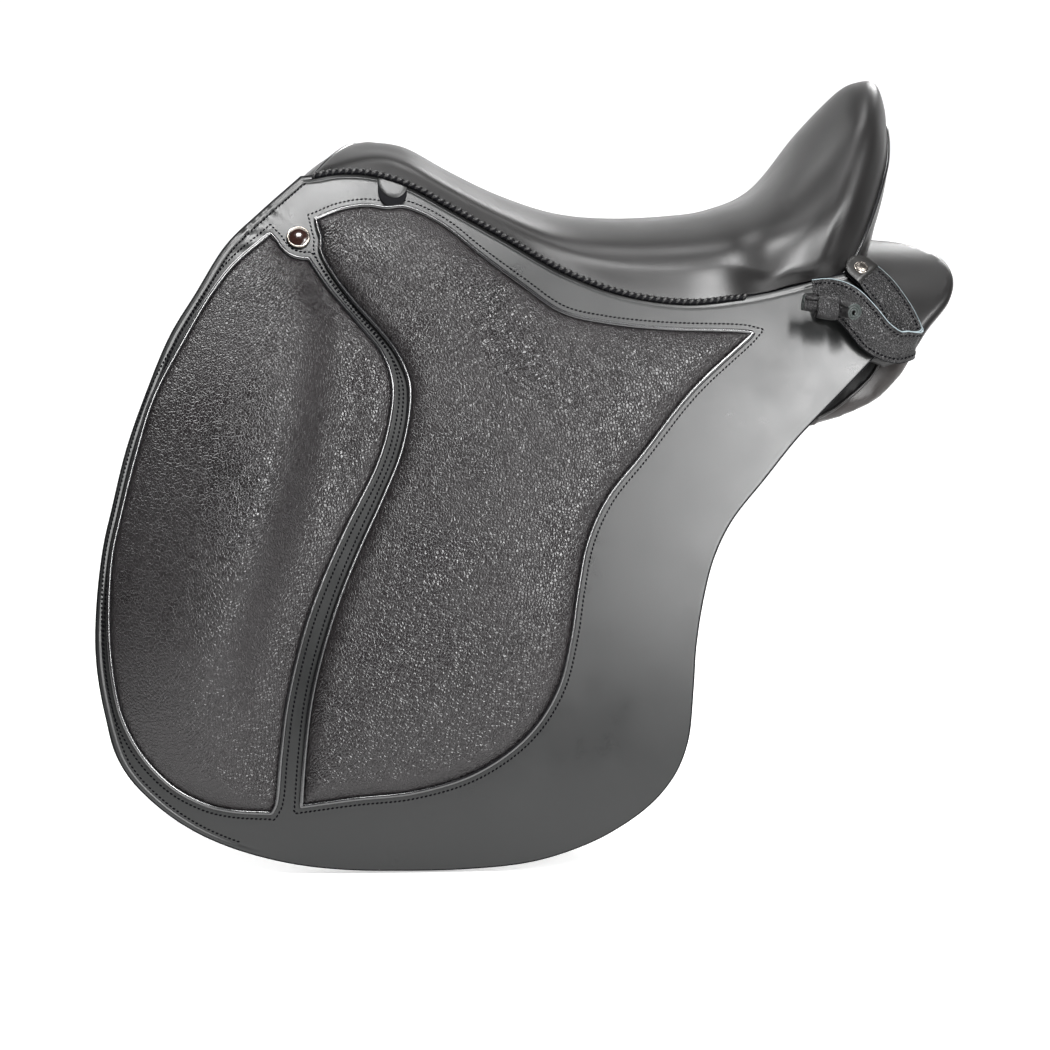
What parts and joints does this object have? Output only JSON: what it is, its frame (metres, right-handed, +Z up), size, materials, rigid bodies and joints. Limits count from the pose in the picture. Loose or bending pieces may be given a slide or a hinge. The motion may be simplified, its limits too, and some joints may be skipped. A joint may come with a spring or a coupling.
{
  "type": "dressage saddle",
  "caption": "Black English dressage saddle with a deep seat, long straight flaps, knee and thigh pads, flocked panels, stirrup bars and girth straps.",
  "frame": {"origin": "centre line of the channel between the panels, at the height where a rack carries the saddle", "axes": "+X to the cantle at the rear, +Z up, the rider's left side at -Y"},
  "size_m": [0.6777, 0.4782, 0.6006],
  "materials": {
    "smooth_leather": "black calf leather, fine pores, soft satin sheen",
    "flap_leather": "firm black bridle leather, matt to satin",
    "grained_leather": "soft black leather with a pebbled grain",
    "trim_leather": "thin polished black leather",
    "strap_leather": "black strap leather with waxed edges",
    "panel_leather": "soft black panel leather over flock",
    "webbing": "undyed woven saddler's web",
    "foam": "open foam, matt",
    "moulded_tree": "moulded fibre-filled plastic, matt",
    "steel": "stainless steel, brushed",
    "badge_metal": "darkened polished metal"
  },
  "bodies": {
    "root": {"saddle_tree": "moulded_tree", "head_plate": "steel", "seat_webs": "webbing", "seat_foam": "foam", "seat_cover": "smooth_leather", "pommel_facing": "smooth_leather", "cantle_back": "smooth_leather", "left_front_skirt": "flap_leather", "left_rear_skirt": "flap_leather", "left_seat_welt": "trim_leather", "left_stirrup_tab": "trim_leather", "left_sweat_flap": "flap_leather", "left_leg_panel": "panel_leather", "left_panel": "panel_leather", "left_rear_facing": "smooth_leather", "left_stirrup_bar": "steel", "left_bar_rivets": "steel", "left_front_hanger": "webbing", "left_rear_hanger": "webbing", "left_strap_rivet": "badge_metal", "right_front_skirt": "flap_leather", "right_rear_skirt": "flap_leather", "right_seat_welt": "trim_leather", "right_stirrup_tab": "trim_leather", "right_sweat_flap": "flap_leather", "right_leg_panel": "panel_leather", "right_panel": "panel_leather", "right_rear_facing": "smooth_leather", "right_stirrup_bar": "steel", "right_bar_rivets": "steel", "right_front_hanger": "webbing", "right_rear_hanger": "webbing", "right_strap_rivet": "badge_metal"},
    "left_flap_body": {"left_flap": "flap_leather", "left_knee_pad": "grained_leather", "left_thigh_pad": "grained_leather", "left_knee_piping": "trim_leather", "left_thigh_piping": "trim_leather", "left_badge": "badge_metal"},
    "left_catch_body": {"left_bar_catch": "steel"},
    "left_front_billet_body": {"left_front_billet": "strap_leather"},
    "left_rear_billet_body": {"left_rear_billet": "strap_leather"},
    "left_strap_body": {"left_rear_strap": "strap_leather", "left_toggle": "trim_leather"},
    "right_flap_body": {"right_flap": "flap_leather", "right_knee_pad": "grained_leather", "right_thigh_pad": "grained_leather", "right_knee_piping": "trim_leather", "right_thigh_piping": "trim_leather", "right_badge": "badge_metal"},
    "right_catch_body": {"right_bar_catch": "steel"},
    "right_front_billet_body": {"right_front_billet": "strap_leather"},
    "right_rear_billet_body": {"right_rear_billet": "strap_leather"},
    "right_strap_body": {"right_rear_strap": "strap_leather", "right_toggle": "trim_leather"}
  },
  "joints": [
    {"name": "left_flap_lift", "type": "hinge", "parent": "root", "child": "left_flap_body", "pos_m": [0.0175, -0.12295, 0.0578], "axis": [-0.9357, 0.1538, 0.3175], "range_deg": [0, 70]},
    {"name": "left_bar_catch_turn", "type": "hinge", "parent": "root", "child": "left_catch_body", "pos_m": [-0.068, -0.0999, 0.068], "axis": [0, 1, 0], "range_deg": [0, 80]},
    {"name": "left_front_billet_swing", "type": "hinge", "parent": "root", "child": "left_front_billet_body", "pos_m": [-0.045, -0.1325, 0.008], "axis": [0, -0.9214, 0.3886], "range_deg": [-8, 8]},
    {"name": "left_rear_billet_swing", "type": "hinge", "parent": "root", "child": "left_rear_billet_body", "pos_m": [0.035, -0.1325, 0.008], "axis": [0, -0.9214, 0.3886], "range_deg": [-8, 8]},
    {"name": "left_rear_strap_turn", "type": "hinge", "parent": "root", "child": "left_strap_body", "pos_m": [0.241, -0.12645, 0.0512], "axis": [0, -0.903, 0.4296], "range_deg": [-5, 8]},
    {"name": "right_flap_lift", "type": "hinge", "parent": "root", "child": "right_flap_body", "pos_m": [0.0175, 0.12295, 0.0578], "axis": [0.9357, 0.1538, -0.3175], "range_deg": [0, 70]},
    {"name": "right_bar_catch_turn", "type": "hinge", "parent": "root", "child": "right_catch_body", "pos_m": [-0.068, 0.0999, 0.068], "axis": [0, 1, 0], "range_deg": [0, 80]},
    {"name": "right_front_billet_swing", "type": "hinge", "parent": "root", "child": "right_front_billet_body", "pos_m": [-0.045, 0.1325, 0.008], "axis": [0, 0.9214, 0.3886], "range_deg": [-8, 8]},
    {"name": "right_rear_billet_swing", "type": "hinge", "parent": "root", "child": "right_rear_billet_body", "pos_m": [0.035, 0.1325, 0.008], "axis": [0, 0.9214, 0.3886], "range_deg": [-8, 8]},
    {"name": "right_rear_strap_turn", "type": "hinge", "parent": "root", "child": "right_strap_body", "pos_m": [0.241, 0.12645, 0.0512], "axis": [0, -0.903, -0.4296], "range_deg": [-5, 8]}
  ]
}
